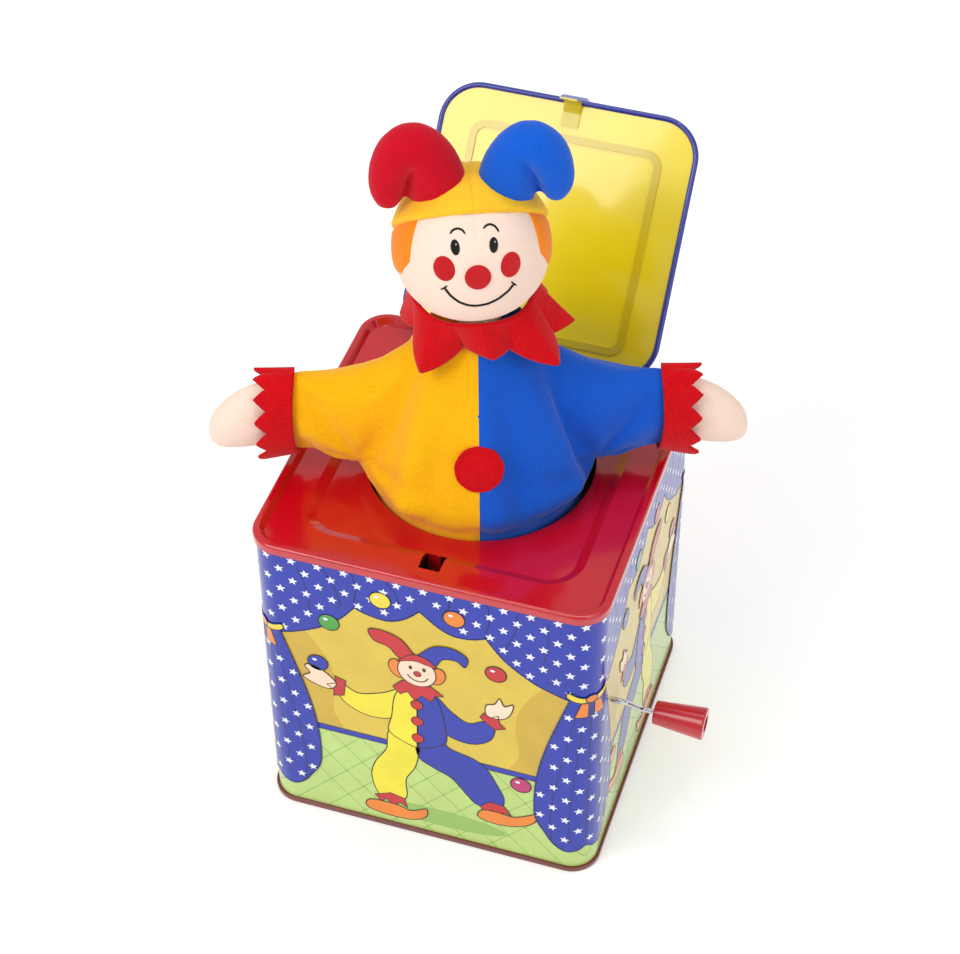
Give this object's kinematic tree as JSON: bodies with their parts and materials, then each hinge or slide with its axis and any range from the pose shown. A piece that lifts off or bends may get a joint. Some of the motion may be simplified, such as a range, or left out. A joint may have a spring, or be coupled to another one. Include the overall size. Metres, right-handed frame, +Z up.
{
  "type": "jack in the box",
  "caption": "Tinplate box with a side crank and a hinged lid, and a soft clown puppet that springs up through the round opening when the lid is released.",
  "frame": {"origin": "middle of the underside of the box, on the plane that it stands on", "axes": "+X to the crank side, +Y to the hinge side, +Z up"},
  "size_m": [0.2048, 0.201, 0.3119],
  "materials": {
    "tin_print": "gloss",
    "tin_red": "gloss",
    "tin_brown": "gloss",
    "tin_plain": "satin",
    "tin_yellow": "gloss",
    "tin_blue": "gloss",
    "steel": "satin",
    "spring_steel": "satin",
    "brass": "satin",
    "knob_red": "gloss",
    "turned_wood": "satin",
    "plush_yellow": "matte",
    "plush_blue": "matte",
    "plush_red": "matte",
    "plush_skin": "matte",
    "plush_orange": "matte",
    "felt_red": "matte"
  },
  "bodies": {
    "box": {"wall_shell": "tin_print", "bottom_rim": "tin_brown", "bottom_panel": "tin_plain", "top_rim": "tin_red", "top_panel": "tin_red", "hinge_leaf": "tin_red", "hinge_pin": "steel", "hinge_rivets": "steel", "movement_frame": "steel", "comb": "spring_steel", "comb_screws": "steel", "crank_bush": "brass", "latch_bracket": "steel", "latch_pin": "steel", "spring_cup": "tin_plain", "spring": "spring_steel", "robe_hoop": "spring_steel", "robe_left": "plush_yellow", "robe_right": "plush_blue", "robe_button": "felt_red"},
    "lid": {"lid_panel": "tin_yellow", "lid_rim": "tin_blue", "catch_tab": "tin_yellow", "lid_hinge_leaf": "tin_blue", "lid_rivets": "steel"},
    "puppet": {"neck_plug": "turned_wood", "head": "plush_skin", "hat_cap": "plush_yellow", "hair_band": "plush_orange", "horn_red": "plush_red", "horn_blue": "plush_blue", "nose": "felt_red", "collar": "felt_red", "sleeve_left": "plush_yellow", "sleeve_right": "plush_blue", "cuff_left": "felt_red", "cuff_right": "felt_red", "hand_left": "plush_skin", "hand_right": "plush_skin"},
    "crank": {"crank_wire": "steel", "crank_pinion": "brass", "crank_clip": "spring_steel", "knob_retainer": "spring_steel"},
    "knob": {"crank_knob": "knob_red"},
    "cylinder": {"pin_cylinder": "brass", "cylinder_arbor": "steel", "cylinder_gear": "brass", "trip_cam": "steel"},
    "latch": {"latch_lever": "spring_steel"}
  },
  "joints": [
    {"name": "lid_hinge", "type": "hinge", "parent": "box", "child": "lid", "pos_m": [0, 0.0565, 0.1543], "axis": [1, 0, 0], "range_deg": [0, 130.8]},
    {"name": "puppet_slide", "type": "slide", "parent": "box", "child": "puppet", "axis": [0, 0, 1], "range_m": [-0.182, 0], "stiffness_N_per_m": 40, "springref_m": 0.06, "deforming": ["spring", "robe_left", "robe_right", "robe_button", "sleeve_left", "sleeve_right", "cuff_left", "cuff_right", "hand_left", "hand_right"]},
    {"name": "crank_turn", "type": "hinge", "parent": "box", "child": "crank", "pos_m": [0.07, -0.048, 0.087], "axis": [1, 0, 0], "continuous": true},
    {"name": "knob_spin", "type": "hinge", "parent": "crank", "child": "knob", "pos_m": [0.095, -0.03265, 0.06695], "axis": [1, 0, 0], "continuous": true},
    {"name": "cylinder_turn", "type": "hinge", "parent": "box", "child": "cylinder", "pos_m": [0.024, -0.058, 0.09629], "axis": [1, 0, 0], "continuous": true},
    {"name": "latch_tilt", "type": "hinge", "parent": "box", "child": "latch", "pos_m": [0, -0.06, 0.12], "axis": [-1, 0, 0], "range_deg": [0, 7]}
  ],
  "couplings": [
    {"joint": "puppet_slide", "follows": "lid_hinge", "m_per_rad": -0.079715},
    {"joint": "cylinder_turn", "follows": "crank_turn", "ratio": -0.4}
  ]
}
